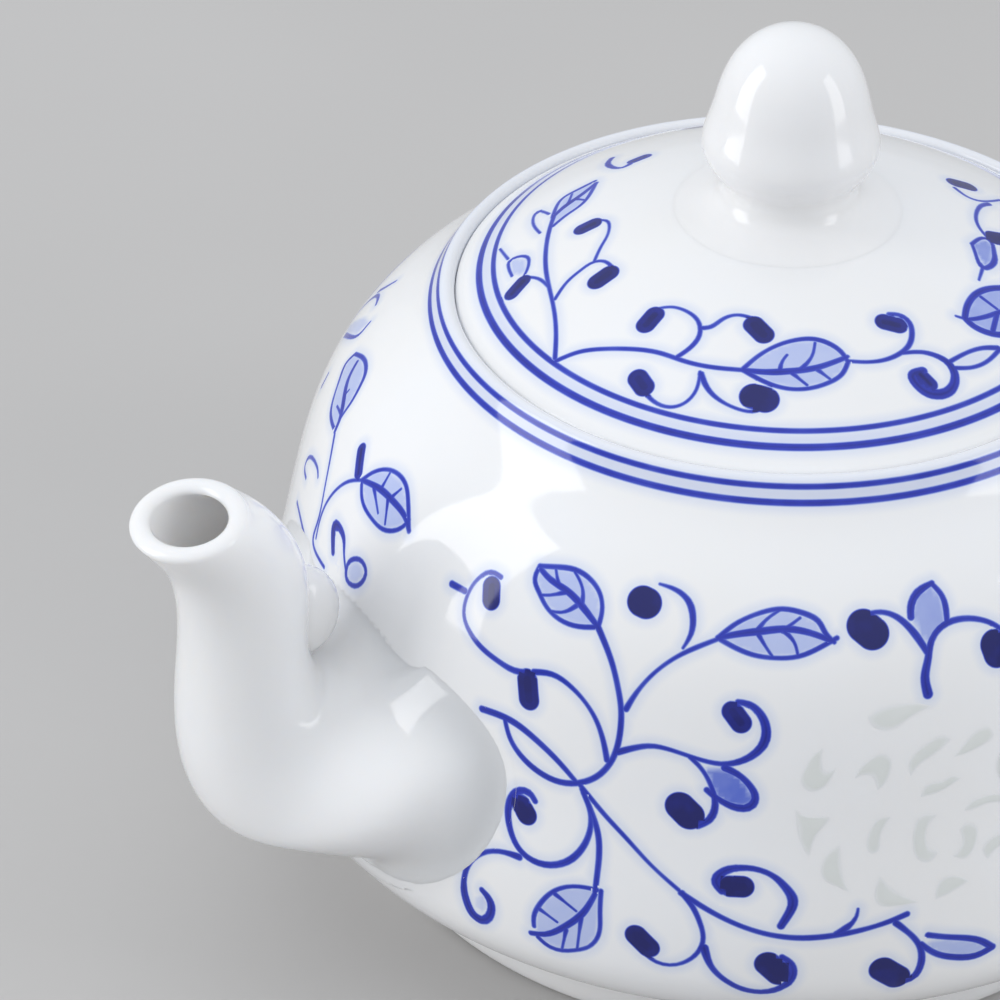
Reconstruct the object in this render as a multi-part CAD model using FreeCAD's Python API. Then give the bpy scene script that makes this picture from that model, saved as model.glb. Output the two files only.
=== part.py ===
import FreeCAD, Part
import math
import os

# A lidded porcelain teapot, in millimetres. The pot's axis is Z, the table is z = 0,
# the spout points along -X and the handle along +X.

# Pot body
foot_radius = 58.7
foot_height = 10.0
foot_flare = 1.4
foot_width = 5.0
foot_rounding = 1.2
belly_radius = 75.0
belly_height = 23.0
under_inset = 4.0
under_drop = 7.8
flank_inset = 3.6
flank_rise = 23.0
shoulder_inset = 11.2
shoulder_rise = 48.0
slope_inset = 17.0
slope_rise = 55.0
collar_inset = 25.0
collar_rise = 62.7
wall = 3.2
floor_thickness = 3.6

# Rim and lid seat
rim_rise = 3.2
rim_inset = 2.1
rim_lip = 1.4
seat_depth = 4.0
seat_width = 7.5
seat_thickness = 3.6

# Lid
lid_clearance = 0.6
seat_gap = 0.2
crown_rise = 14.3
lid_edge_drop = 0.9
lid_edge_rounding = 1.3
lid_wall = 3.2
skirt_clearance = 0.8
skirt_wall = 3.0
skirt_depth = 9.0
skirt_rounding = 0.9
vent_diameter = 3.0
vent_distance = 17.0
vent_angle = 56.0

# Knob, as heights above the lid's crown and radii
knob_foot_radius = 13.0
knob_neck_radius = 9.4
knob_neck_rise = 2.6
knob_collar_radius = 12.4
knob_collar_rise = 8.8
knob_waist_radius = 11.1
knob_waist_rise = 14.2
knob_cheek_radius = 8.5
knob_cheek_rise = 21.6
knob_brow_radius = 4.9
knob_brow_rise = 25.2
knob_height = 26.6

# Spout. Offsets run out from the belly, rises up from the middle of the base, leans are in
# degrees from upright, and tall and wide are half sizes of an oval section.
spout_base_height = 40.6
base_offset = -5.3
base_lean = 81.0
base_tall = 18.6
base_wide = 29.2
root_sink = 7.5
root_growth = 2.6
bulb_offset = 4.4
bulb_rise = 1.8
bulb_lean = 65.0
bulb_tall = 17.4
bulb_wide = 24.7
knee_offset = 9.3
knee_rise = 2.2
knee_lean = 48.0
knee_tall = 14.2
knee_wide = 16.3
neck_offset = 11.7
neck_rise = 16.3
neck_lean = 12.0
neck_tall = 9.0
neck_wide = 10.1
throat_offset = 11.9
throat_rise = 27.3
throat_lean = 10.0
throat_tall = 9.2
throat_wide = 8.7
flare_offset = 15.4
flare_rise = 34.7
flare_lean = 20.0
flare_tall = 8.2
flare_wide = 8.5
mouth_offset = 19.4
mouth_rise = 40.0
mouth_lean = 11.0
mouth_tall = 8.1
mouth_wide = 8.9
spout_wall = 2.2
bend_sink = 2.0
bend_drop = 0.8
bend_inset = 1.6
lip_rounding = 1.0
lug_rise = 18.6
lug_tall = 7.0
lug_deep = 6.0
lug_wide = 4.6
lug_sink = 0.2
strainer_hole = 4.6
strainer_pitch = 7.6
strainer_count = 6

# Handle
handle_reach = 27.0
handle_top = 79.0
handle_bottom = 28.0
handle_thick = 8.6
handle_wide = 12.0
handle_upper_sink = 8.0
handle_upper_drop = 7.1
handle_crest_offset = 3.2
handle_bend_inset = 3.2
handle_bend_drop = 6.1
handle_grip_drop = 21.4
handle_tail_inset = 5.9
handle_tail_rise = 10.2
handle_foot_offset = 2.7
handle_lower_sink = 10.0
handle_lower_drop = 1.5

# Windows pierced through the wall and filled with clear glaze
window_angle = -103.5
window_height = 47.5
window_scale = 1.0
glaze_gap = 0.05

# Thickness of the slip that joins the cast pieces, and the free space kept around one of them
slip = 0.1
room_margin = 1.0

# Each window as across, up, turn in degrees, length, width and bend of a crescent
WINDOWS = [
    (-8.1, 12.6, 11, 9.0, 2.6, 0.4),
    (-19.4, 4.2, 128, 6.4, 3.0, 1.6),
    (-11.4, 4.8, 52, 6.2, 3.0, 1.4),
    (-4.0, 6.4, 46, 7.4, 1.9, 0.8),
    (2.4, 8.4, 34, 6.4, 2.0, 0.3),
    (-2.5, 1.9, 26, 5.4, 1.9, 0.2),
    (-20.2, -3.6, 104, 6.8, 3.4, -0.6),
    (-10.9, -4.9, 62, 5.9, 2.2, 0.5),
    (-4.4, -5.5, 94, 7.0, 2.8, 1.0),
    (1.2, -5.8, 70, 5.2, 2.4, -0.8),
    (-17.2, -9.8, 112, 7.6, 2.6, 1.6),
    (-9.0, -13.4, 150, 6.8, 3.2, 0.4),
    (-0.8, -12.8, 32, 5.4, 2.8, 0.6),
    (3.6, -0.4, 20, 5.8, 1.8, 0.7),
    (9.2, 5.2, 140, 6.2, 2.4, -0.8),
    (10.2, -2.6, 108, 6.0, 2.6, -0.6),
    (8.4, -10.2, 138, 6.6, 2.4, -0.9),
    (9.0, 11.6, 160, 7.0, 2.4, -0.5),
    (16.6, 6.6, 118, 6.6, 2.8, -1.2),
    (17.6, -1.8, 88, 6.2, 2.8, -0.8),
    (15.4, -8.8, 62, 6.6, 2.6, -1.0),
]

# Points that draw one oval section, and sections that draw the handle
oval_steps = 12
handle_steps = 13

# Places that follow from the sizes
axis = FreeCAD.Vector(0, 0, 1)
rim_height = belly_height + collar_rise + rim_rise
crest_radius = belly_radius - collar_inset - rim_inset
rim_inner = crest_radius - rim_lip
mouth_radius = rim_inner - seat_width
seat_height = rim_height - seat_depth
lid_radius = rim_inner - lid_clearance
lid_edge_height = rim_height - lid_edge_drop
crown_height = rim_height + crown_rise
lid_bottom = seat_height + seat_gap
skirt_radius = mouth_radius - skirt_clearance
foot_top_radius = foot_radius + foot_flare
floor_height = foot_height + floor_thickness

# Directions in which the profile's curves set out and arrive, and the point that rounds the rim
up = FreeCAD.Vector(0, 0, 10)
foot_way = FreeCAD.Vector(8, 0, 1.2)
floor_way = FreeCAD.Vector(14, 0, 0.5)
collar_way = FreeCAD.Vector(-6.5, 0, 9)
flare_way = FreeCAD.Vector(-3, 0, 0.9)
apex_way = FreeCAD.Vector(-5, 0, 0)
rim_shoulder = FreeCAD.Vector(0.75, 0, -0.35)

# Share of the inner wall that stands below the ledge
inner_share = 0.8


def at(radius, height):
    """A point of a profile in the XZ plane."""
    return FreeCAD.Vector(radius, 0, height)


def spline(points, start=None, end=None):
    """A smooth curve through points, with its end directions where they are given."""
    curve = Part.BSplineCurve()
    if start is None:
        curve.interpolate(Points=points)
    else:
        curve.interpolate(Points=points, InitialTangent=start, FinalTangent=end)
    return curve


def spun(edges):
    """The solid that a closed profile sweeps around the pot's axis."""
    face = Part.Face(Part.Wire(edges))
    return face.revolve(FreeCAD.Vector(0, 0, 0), axis, 360)


def line(first, second):
    return Part.LineSegment(first, second).toShape()


def arc(first, middle, last):
    return Part.Arc(first, middle, last).toShape()


def under_curve(out):
    """The underside, from the foot to the belly, moved in by out along its normal."""
    belly = at(belly_radius, belly_height)
    low = at(foot_top_radius, foot_height)
    middle = at(belly_radius - under_inset, belly_height - under_drop)
    curve = spline([low, middle, belly], foot_way, up)
    return curve if out == 0 else offset(curve, out, 9)


def dome_curve(out):
    """The dome, from the belly up to the collar below the rim, moved in by out."""
    points = [at(belly_radius, belly_height)]
    points.append(at(belly_radius - flank_inset, belly_height + flank_rise))
    points.append(at(belly_radius - shoulder_inset, belly_height + shoulder_rise))
    points.append(at(belly_radius - slope_inset, belly_height + slope_rise))
    points.append(at(belly_radius - collar_inset, belly_height + collar_rise))
    curve = spline(points, up, collar_way)
    return curve if out == 0 else offset(curve, out, 9)


def offset(curve, distance, steps):
    """A curve that keeps a distance on the inside of another one."""
    points = []
    first = curve.FirstParameter
    last = curve.LastParameter
    for step in range(steps):
        where = first + (last - first) * step / (steps - 1)
        along = curve.tangent(where)[0]
        inward = FreeCAD.Vector(-along.z, 0, along.x)
        points.append(curve.value(where) + inward.normalize() * distance)
    return spline(points)


def outer_skin(out):
    """The closed outside of the pot up to its collar, grown by out."""
    low = under_curve(-out)
    high = dome_curve(-out)
    foot = low.value(low.FirstParameter)
    collar = high.value(high.LastParameter)
    edges = [line(at(0, foot.z), foot), low.toShape(), high.toShape()]
    edges += [line(collar, at(0, collar.z)), line(at(0, collar.z), at(0, foot.z))]
    return spun(edges)


def outside_wall(shape):
    """The part of a shape that stands outside the pot's wall, clear of it by the slip."""
    box = shape.BoundBox
    margin = FreeCAD.Vector(room_margin, room_margin, room_margin)
    corner = FreeCAD.Vector(box.XMin, box.YMin, box.ZMin) - margin
    size = FreeCAD.Vector(box.XLength, box.YLength, box.ZLength) + margin * 2
    room = Part.makeBox(size.x, size.y, size.z, corner)
    return shape.common(room.cut(outer_skin(slip)))


def pot_shell():
    """The pot's wall with its floor, its rim and the ledge that the lid sits on."""
    low = under_curve(0)
    high = dome_curve(0)
    inner = dome_curve(wall)
    inner_low = at(foot_top_radius, floor_height)
    collar = high.value(high.LastParameter)
    reach = inner.LastParameter - inner.FirstParameter
    inner_top = inner.value(inner.FirstParameter + inner_share * reach)
    inner_belly = inner.value(inner.FirstParameter)
    inner.segment(inner.FirstParameter, inner.parameter(inner_top))
    floor_turn = spline([inner_low, inner_belly], floor_way, up)
    crest = at(crest_radius, rim_height)
    lip = at(rim_inner, rim_height - rim_lip)
    ledge = at(mouth_radius, seat_height)
    ledge_under = at(mouth_radius, seat_height - seat_thickness)
    edges = [line(at(0, foot_height), at(foot_top_radius, foot_height))]
    edges += [low.toShape(), high.toShape(), arc(collar, crest + rim_shoulder, lip)]
    edges += [line(lip, at(rim_inner, seat_height)), line(at(rim_inner, seat_height), ledge)]
    edges += [line(ledge, ledge_under), line(ledge_under, inner_top), inner.toShape()]
    edges += [floor_turn.toShape(), line(inner_low, at(0, floor_height))]
    edges.append(line(at(0, floor_height), at(0, foot_height)))
    return spun(edges)


def strainer_holes():
    """A rosette of holes through the wall behind the spout."""
    holes = []
    for number in range(strainer_count + 1):
        angle = 2 * math.pi * number / strainer_count
        ring = strainer_pitch if number < strainer_count else 0
        across = ring * math.cos(angle)
        height = spout_base_height + ring * math.sin(angle)
        start = FreeCAD.Vector(-mouth_radius, across, height)
        holes.append(Part.makeCylinder(strainer_hole / 2, belly_radius, start, FreeCAD.Vector(-1, 0, 0)))
    return holes


def window_prisms(side, shrink):
    """The crescents of one medallion, as prisms along the medallion's own direction."""
    outward = math.radians(window_angle) * side
    normal = FreeCAD.Vector(math.cos(outward), math.sin(outward), 0)
    right = FreeCAD.Vector(-math.sin(outward), math.cos(outward), 0) * side
    centre = axis * window_height + normal * mouth_radius
    prisms = []
    for across, up, turn, length, width, bend in WINDOWS:
        lean = math.radians(turn)
        along = right * math.cos(lean) + axis * math.sin(lean)
        over = axis * math.cos(lean) - right * math.sin(lean)
        middle = centre + right * across * window_scale + axis * up * window_scale
        half = along * (length * window_scale / 2 - shrink)
        high = over * ((bend + width / 2) * window_scale - shrink)
        low = over * ((bend - width / 2) * window_scale + shrink)
        upper = arc(middle - half, middle + high, middle + half)
        lower = arc(middle + half, middle + low, middle - half)
        prisms.append(Part.Face(Part.Wire([upper, lower])).extrude(normal * belly_radius))
    return prisms


def foot_ring():
    """The turned ring that the pot stands on."""
    inner = foot_radius - foot_width
    corners = [at(inner, 0), at(foot_radius, 0), at(foot_top_radius, foot_height), at(inner, foot_height)]
    edges = [line(corners[i], corners[(i + 1) % 4]) for i in range(4)]
    ring = spun(edges)
    low = [edge for edge in ring.Edges if edge.BoundBox.ZMax < 0.01 and edge.Length > foot_radius]
    return ring.makeFillet(foot_rounding, low)


def section(out, height, lean, deep, wide):
    """An oval across the spout or handle: its normal leans out from upright by lean degrees."""
    tilt = math.radians(lean)
    across = FreeCAD.Vector(math.cos(tilt), 0, -math.sin(tilt))
    centre = FreeCAD.Vector(out, 0, height)
    points = []
    for step in range(oval_steps):
        turn = 2 * math.pi * step / oval_steps
        side = FreeCAD.Vector(0, wide * math.sin(turn), 0)
        points.append(centre + across * deep * math.cos(turn) + side)
    oval = Part.BSplineCurve()
    oval.interpolate(Points=points, PeriodicFlag=True)
    return Part.Wire(oval.toShape())


def loft(sections):
    return Part.makeLoft(sections, True, False)


def spout_row(offset, rise, lean, tall, wide):
    """One section of the spout, placed from the belly and the middle of the base."""
    return (belly_radius + offset, spout_base_height + rise, lean, tall, wide)


def spout_rows(sink, drop, inset):
    """The spout's sections from inside the wall up to the flare below its lip. The two at the bend
    are set towards the pot by sink, lowered by drop and smaller by inset."""
    return [
        spout_row(base_offset - root_sink, 0, 90, base_tall + root_growth, base_wide + root_growth),
        spout_row(base_offset, 0, base_lean, base_tall, base_wide),
        spout_row(bulb_offset - sink, bulb_rise - drop, bulb_lean, bulb_tall - inset, bulb_wide - inset),
        spout_row(knee_offset - sink, knee_rise - drop, knee_lean, knee_tall - inset, knee_wide - inset),
        spout_row(neck_offset, neck_rise, neck_lean, neck_tall, neck_wide),
        spout_row(throat_offset, throat_rise, throat_lean, throat_tall, throat_wide),
        spout_row(flare_offset, flare_rise, flare_lean, flare_tall, flare_wide),
    ]


def beyond_mouth(distance, inset):
    """A section past the mouth by a distance along the mouth's own direction, smaller by inset."""
    lean = math.radians(mouth_lean)
    offset_there = mouth_offset + distance * math.sin(lean)
    rise_there = mouth_rise + distance * math.cos(lean)
    return spout_row(offset_there, rise_there, mouth_lean, mouth_tall - inset, mouth_wide - inset)


def spout_form(rows, inset):
    """A curved solid through the spout's rows, with every section smaller by inset."""
    ovals = []
    for out, height, lean, tall, wide in rows:
        ovals.append(section(out, height, lean, tall - inset, wide - inset))
    form = loft(ovals)
    form.rotate(FreeCAD.Vector(0, 0, 0), axis, 180)
    return form


def spout_outside(inset):
    """The outside of the spout, with a rounded lip."""
    lip = [beyond_mouth(-lip_rounding, 0), beyond_mouth(0, lip_rounding)]
    return spout_form(spout_rows(0, 0, 0) + lip, inset)


def spout_bore():
    """The way through the spout. It keeps below the notch between bulb and neck, and runs on past
    the mouth so that it cuts clean."""
    ending = [beyond_mouth(-lip_rounding, 0), beyond_mouth(spout_wall, 0)]
    return spout_form(spout_rows(bend_sink, bend_drop, bend_inset) + ending, spout_wall)


def spout():
    """The spout, hollow from the pot's wall to its mouth."""
    return outside_wall(spout_outside(0).cut(spout_bore()))


def spout_lug():
    """The small rounded lug on the back of the spout's neck."""
    back = belly_radius + neck_offset - neck_tall
    ball = Part.makeSphere(1)
    shape = FreeCAD.Matrix()
    shape.scale(lug_deep, lug_wide, lug_tall)
    lug = ball.transformGeometry(shape)
    lug.translate(FreeCAD.Vector(-back - lug_sink, 0, spout_base_height + lug_rise))
    return outside_wall(lug.cut(spout_outside(-slip)))


def handle():
    """The ear-shaped handle, carried as an oval along one smooth curve."""
    out = belly_radius + handle_reach - handle_thick / 2
    path = spline([
        at(belly_radius - shoulder_inset - handle_upper_sink, handle_top - handle_upper_drop),
        at(belly_radius + handle_crest_offset, handle_top),
        at(out - handle_bend_inset, handle_top - handle_bend_drop),
        at(out, handle_top - handle_grip_drop),
        at(out - handle_tail_inset, handle_bottom + handle_tail_rise),
        at(belly_radius + handle_foot_offset, handle_bottom),
        at(belly_radius - handle_lower_sink, handle_bottom - handle_lower_drop),
    ])
    first = path.FirstParameter
    last = path.LastParameter
    ovals = []
    for step in range(handle_steps):
        where = first + (last - first) * step / (handle_steps - 1)
        spot = path.value(where)
        way = path.tangent(where)[0]
        lean = math.degrees(math.atan2(way.x, way.z))
        ovals.append(section(spot.x, spot.z, lean, handle_thick / 2, handle_wide / 2))
    return outside_wall(loft(ovals))


def lid_dome(out):
    """The lid's crown as an arc from the axis to its edge, grown by out."""
    drop = crown_height - lid_edge_height
    ball = (lid_radius ** 2 + drop ** 2) / (2 * drop)
    centre = crown_height - ball
    reach = ball + out
    half = math.asin(lid_radius / ball)
    edge = at(reach * math.sin(half), centre + reach * math.cos(half))
    middle = at(reach * math.sin(half / 2), centre + reach * math.cos(half / 2))
    return at(0, centre + reach), middle, edge


def lid():
    """The domed lid with its flat seating face, hollow below and vented beside the knob."""
    top, middle, edge = lid_dome(0)
    inner_top, inner_middle, inner_edge = lid_dome(-lid_wall)
    inside = skirt_radius - skirt_wall
    brim = at(edge.x, lid_bottom)
    edges = [arc(top, middle, edge), line(edge, brim), line(brim, at(0, lid_bottom))]
    edges.append(line(at(0, lid_bottom), top))
    solid = spun(edges)
    rim_edges = [item for item in solid.Edges if abs(item.BoundBox.XMax - edge.x) < 0.01]
    rim_edges = [item for item in rim_edges if abs(item.BoundBox.ZMax - item.BoundBox.ZMin) < 0.01]
    solid = solid.makeFillet(lid_edge_rounding, rim_edges)
    floor = lid_bottom - lid_wall
    hollow = [arc(inner_top, inner_middle, inner_edge), line(inner_edge, at(inner_edge.x, floor))]
    hollow += [line(at(inner_edge.x, floor), at(0, floor)), line(at(0, floor), inner_top)]
    well = Part.makeCylinder(inside, crown_height, at(0, floor))
    solid = solid.cut(spun(hollow).common(well))
    turn = math.radians(vent_angle)
    spot = FreeCAD.Vector(vent_distance * math.cos(turn), vent_distance * math.sin(turn), lid_bottom)
    return solid.cut(Part.makeCylinder(vent_diameter / 2, crown_height, spot))


def lid_skirt():
    """The ring under the lid that keeps it in the mouth while pouring."""
    inside = skirt_radius - skirt_wall
    base = at(0, lid_bottom - skirt_depth)
    ring = Part.makeCylinder(skirt_radius, skirt_depth, base)
    ring = ring.cut(Part.makeCylinder(inside, skirt_depth, base))
    low = [edge for edge in ring.Edges if edge.BoundBox.ZMax < base.z + 0.01 and edge.Length > inside]
    return ring.makeFillet(skirt_rounding, low)


def knob():
    """The bud-shaped knob with its collar and flared foot."""
    top, middle, edge = lid_dome(slip)
    neck = at(knob_neck_radius, crown_height + knob_neck_rise)
    collar = at(knob_collar_radius, crown_height + knob_collar_rise)
    waist = at(knob_waist_radius, crown_height + knob_waist_rise)
    apex = at(0, crown_height + knob_height)
    cheek = at(knob_cheek_radius, crown_height + knob_cheek_rise)
    brow = at(knob_brow_radius, crown_height + knob_brow_rise)
    foot = at(knob_foot_radius, crown_height - lid_wall / 2)
    flare = spline([foot, neck], flare_way, up)
    swell = spline([neck, collar, waist], up, up)
    crown = spline([waist, cheek, brow, apex], up, apex_way)
    edges = [line(at(0, foot.z), foot), flare.toShape(), swell.toShape(), crown.toShape()]
    edges.append(line(apex, at(0, foot.z)))
    below = at(0, crown_height - knob_height)
    plug = [arc(top, middle, edge), line(edge, at(edge.x, below.z)), line(at(edge.x, below.z), below)]
    plug.append(line(below, top))
    return spun(edges).cut(spun(plug))


def solids(shape):
    """One solid, or several as a group."""
    found = shape.Solids
    return found[0] if len(found) == 1 else Part.makeCompound(found)


os.makedirs("parts", exist_ok=True)
shell = pot_shell()
front = window_prisms(1, 0)
back = window_prisms(-1, 0)
PARTS = {
    "pot_body": shell.cut(Part.makeCompound(strainer_holes() + front + back)),
    "foot_ring": foot_ring(),
    "spout": spout(),
    "spout_lug": spout_lug(),
    "handle": handle(),
    "lid": lid(),
    "lid_skirt": lid_skirt(),
    "knob": knob(),
    "glaze_windows_front": shell.common(Part.makeCompound(window_prisms(1, glaze_gap))),
    "glaze_windows_back": shell.common(Part.makeCompound(window_prisms(-1, glaze_gap))),
}
for name, shape in PARTS.items():
    solids(shape).exportStep("parts/" + name + ".step")
    print(name, len(shape.Solids), round(shape.Volume, 1), shape.isValid())
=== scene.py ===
import math
import bmesh
import bpy
import numpy as np
from mathutils import Matrix


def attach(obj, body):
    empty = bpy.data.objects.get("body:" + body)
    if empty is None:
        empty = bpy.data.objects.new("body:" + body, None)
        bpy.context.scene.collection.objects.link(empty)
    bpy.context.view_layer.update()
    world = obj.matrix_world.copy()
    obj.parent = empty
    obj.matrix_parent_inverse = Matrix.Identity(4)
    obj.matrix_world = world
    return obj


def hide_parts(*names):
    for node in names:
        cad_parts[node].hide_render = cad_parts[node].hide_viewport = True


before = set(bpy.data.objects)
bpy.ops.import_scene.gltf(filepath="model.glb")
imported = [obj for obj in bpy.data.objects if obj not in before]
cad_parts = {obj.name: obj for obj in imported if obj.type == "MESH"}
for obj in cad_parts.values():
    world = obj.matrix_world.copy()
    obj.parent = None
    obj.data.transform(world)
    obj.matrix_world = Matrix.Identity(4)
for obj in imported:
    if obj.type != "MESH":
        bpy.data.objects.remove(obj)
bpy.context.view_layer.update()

# The camera stands where the picture was taken from, on the spout's side and above the lid,
# with a long lens. It comes first because the painting is carried to the glaze along its rays.
MM = 0.001
picture_size = 1000
focal_pixels = 5300.0
sensor_width = 36.0
camera_place = np.array([-351.6, -529.5, 486.2])
camera_heading = -30.0
camera_pitch = 34.43
camera_roll = 0.66
turn = Matrix.Rotation(math.radians(camera_heading), 4, "Z")
turn = turn @ Matrix.Rotation(math.radians(90 - camera_pitch), 4, "X")
turn = turn @ Matrix.Rotation(math.radians(camera_roll), 4, "Z")
camera_right, camera_up, camera_back = np.array(turn)[:3, :3].T
lens = bpy.data.cameras.new("camera")
lens.sensor_width = sensor_width
lens.lens = sensor_width * focal_pixels / picture_size
lens.clip_start = 0.05
camera = bpy.data.objects.new("camera", lens)
camera.matrix_world = Matrix.Translation(camera_place * MM) @ turn
bpy.context.scene.collection.objects.link(camera)
bpy.context.scene.camera = camera


# The pot's body is a cast porcelain shell: a domed wall on a turned-in underside, a rolled rim
# and a ledge inside it for the lid. It is painted with cobalt and dipped in a clear glaze.
foot_top_radius = 60.1
foot_height = 10.0
floor_height = 13.6
belly = (75.0, 23.0)
under_turn = (71.0, 15.2)
dome_points = [belly, (71.4, 46.0), (63.8, 71.0), (58.0, 78.0), (50.0, 85.7)]
rim_points = [(50.0, 85.7), (48.95, 87.5), (48.2, 88.4), (47.25, 88.5), (46.62, 88.05), (46.5, 87.4)]
rim_inner = 46.5
seat_height = 84.9
mouth_radius = 39.0
mouth_under = 81.3
wall = 3.2
body_columns = 520


def spline(points, count, start=None, end=None):
    """A smooth curve through points: cubic pieces with the bend running on evenly through each
    point. start and end are directions at the ends, which otherwise run out straight."""
    points = np.asarray(points, float)
    step = np.linalg.norm(np.diff(points, axis=0), axis=1)
    knots = np.r_[0, np.cumsum(step)]
    last = len(points) - 1
    inner = np.arange(1, last)
    chord = np.diff(points, axis=0) / step[:, None]
    system = np.zeros((last + 1, last + 1))
    system[inner, inner - 1] = 1 / step[:-1]
    system[inner, inner] = 2 / step[:-1] + 2 / step[1:]
    system[inner, inner + 1] = 1 / step[1:]
    known = np.zeros_like(points)
    known[inner] = 3 * (chord[:-1] / step[:-1, None] + chord[1:] / step[1:, None])
    for row, beside, given, run in ((0, 1, start, chord[0]), (last, last - 1, end, chord[-1])):
        system[row, row] = 2 if given is None else 1
        system[row, beside] = 1 if given is None else 0
        known[row] = 3 * run if given is None else np.asarray(given) / np.linalg.norm(given)
    slope = np.linalg.solve(system, known)
    where = np.linspace(0, knots[-1], count)
    piece = np.clip(np.searchsorted(knots, where, side="right") - 1, 0, last - 1)
    x = ((where - knots[piece]) / step[piece])[:, None]
    run = step[piece][:, None]
    start_part = (1 - x) ** 2 * ((1 + 2 * x) * points[piece] + x * run * slope[piece])
    end_part = x ** 2 * ((3 - 2 * x) * points[piece + 1] + (x - 1) * run * slope[piece + 1])
    return start_part + end_part


def inward(curve, distance):
    """The curve moved to its left by a distance, which on a profile drawn upwards is inwards."""
    along = np.gradient(curve, axis=0)
    along /= np.linalg.norm(along, axis=1)[:, None]
    return curve + distance * np.c_[-along[:, 1], along[:, 0]]


def turned(profile, columns):
    """A profile of radius and height spun round the axis, one row of points per profile point."""
    angle = np.linspace(0, 2 * np.pi, columns, endpoint=False)
    radius, height = np.asarray(profile, float).T
    across = np.outer(radius, np.cos(angle))
    deep = np.outer(radius, np.sin(angle))
    return np.stack([across, deep, np.repeat(height[:, None], columns, 1)], -1)


def clay(name, grids, material, ring=False, crease=50.0, depths=None):
    """One mesh from grids of points in millimetres. Each row closes on itself, rows that shrink to
    a point become poles, and in a ring the last row joins the first. Depths stay with the points."""
    points, quads, used = [], [], 0
    for grid in grids:
        rows, columns = grid.shape[:2]
        low = used + np.arange(rows * columns).reshape(rows, columns)
        high = np.roll(low, -1, 0)
        if not ring:
            low, high = low[:-1], high[:-1]
        cells = np.stack([low, np.roll(low, -1, 1), np.roll(high, -1, 1), high], -1)
        points.append(grid.reshape(-1, 3) * MM)
        quads.append(cells.reshape(-1, 4))
        used += rows * columns
    mesh = bpy.data.meshes.new(name)
    mesh.from_pydata(np.concatenate(points), [], np.concatenate(quads))
    if depths is not None:
        held = mesh.attributes.new("depth", "FLOAT", "POINT")
        held.data.foreach_set("value", np.concatenate(depths).astype(np.float32))
    work = bmesh.new()
    work.from_mesh(mesh)
    bmesh.ops.remove_doubles(work, verts=work.verts, dist=1e-7)
    bmesh.ops.recalc_face_normals(work, faces=work.faces)
    work.to_mesh(mesh)
    work.free()
    mesh.shade_smooth()
    mesh.set_sharp_from_angle(angle=math.radians(crease))
    mesh.materials.append(material)
    made = bpy.data.objects.new(name, mesh)
    bpy.context.scene.collection.objects.link(made)
    return made


def pierce(thing, cutter):
    """Cuts a closed cutter out of a piece and takes the cutter away."""
    cut = thing.modifiers.new("holes", "BOOLEAN")
    cut.operation = "DIFFERENCE"
    cut.solver = "MANIFOLD"
    cut.object = cutter
    bpy.context.view_layer.update()
    seen = thing.evaluated_get(bpy.context.evaluated_depsgraph_get())
    cut_mesh = bpy.data.meshes.new_from_object(seen)
    thing.modifiers.clear()
    thing.data = cut_mesh
    bpy.data.objects.remove(cutter)


def cast(pixels, profile):
    """Picture points carried along the camera's rays to where they first meet a turned profile."""
    nearest, furthest, steps = 480.0, 930.0, 700
    across, down = ((np.asarray(pixels, float) - picture_size / 2) / focal_pixels).T
    way = across[:, None] * camera_right - down[:, None] * camera_up - camera_back
    way /= np.linalg.norm(way, axis=1)[:, None]
    depth = np.linspace(nearest, furthest, steps)
    spots = camera_place + depth[:, None] * way[:, None, :]
    order = np.argsort(profile[:, 1])
    skin = np.interp(spots[..., 2], profile[order, 1], profile[order, 0], left=-1, right=-1)
    gap = np.hypot(spots[..., 0], spots[..., 1]) - skin
    hit = np.maximum((gap < 0).argmax(axis=1), 1)
    rays = np.arange(len(way))
    before, after = gap[rays, hit - 1], gap[rays, hit]
    share = np.clip(before / (before - after), 0, 1)
    return camera_place + way * (depth[hit - 1] + share * (depth[1] - depth[0]))[:, None]


def facing(spots, profile):
    """Outward directions of a turned profile at points on it, from the profile's slope there."""
    order = np.argsort(profile[:, 1])
    slope = np.gradient(profile[order, 0]) / np.gradient(profile[order, 1])
    lean = -np.interp(spots[:, 2], profile[order, 1], slope)
    radius = np.hypot(spots[:, 0], spots[:, 1])[:, None]
    out = np.c_[spots[:, :2] / radius, lean]
    return out / np.linalg.norm(out, axis=1)[:, None]


def brushed(strokes, profile):
    """Strokes of picture points and half widths as finely stepped lines on a turned profile. Broad
    ones are drops with one even half width, and a line that curls round is laid in two halves."""
    spacing, broad, curl, shortest = 3.0, 1.0, 3.6, 0.2
    laid = []
    for widths, pixels in strokes:
        length = np.linalg.norm(np.diff(np.asarray(pixels, float), axis=0), axis=1).sum()
        line = spline(pixels, max(9, int(length / spacing)))
        spots = cast(line, profile)
        if max(widths) >= broad:
            axis = (spots[-1] - spots[0]) / np.linalg.norm(spots[-1] - spots[0])
            first = spots[0] + (max(widths) - widths[0]) * axis
            last = spots[-1] - (max(widths) - widths[-1]) * axis
            if (last - first) @ axis < shortest:
                middle = (first + last) / 2
                first, last = middle - shortest / 2 * axis, middle + shortest / 2 * axis
            drop = first + np.linspace(0, 1, 9)[:, None] * (last - first)
            laid.append((drop, np.full(len(drop), max(widths))))
            continue
        half = np.interp(np.linspace(0, 1, len(line)), np.linspace(0, 1, len(widths)), widths)
        way = np.unwrap(np.arctan2(*np.gradient(line, axis=0).T))
        turned_by = np.r_[0, np.cumsum(np.abs(np.diff(way)))]
        cut = len(line) if turned_by[-1] < curl else np.searchsorted(turned_by, turned_by[-1] / 2)
        laid.append((spots[:cut + 1], half[:cut + 1]))
        if cut < len(line):
            laid.append((spots[cut:], half[cut:]))
    return laid


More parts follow.
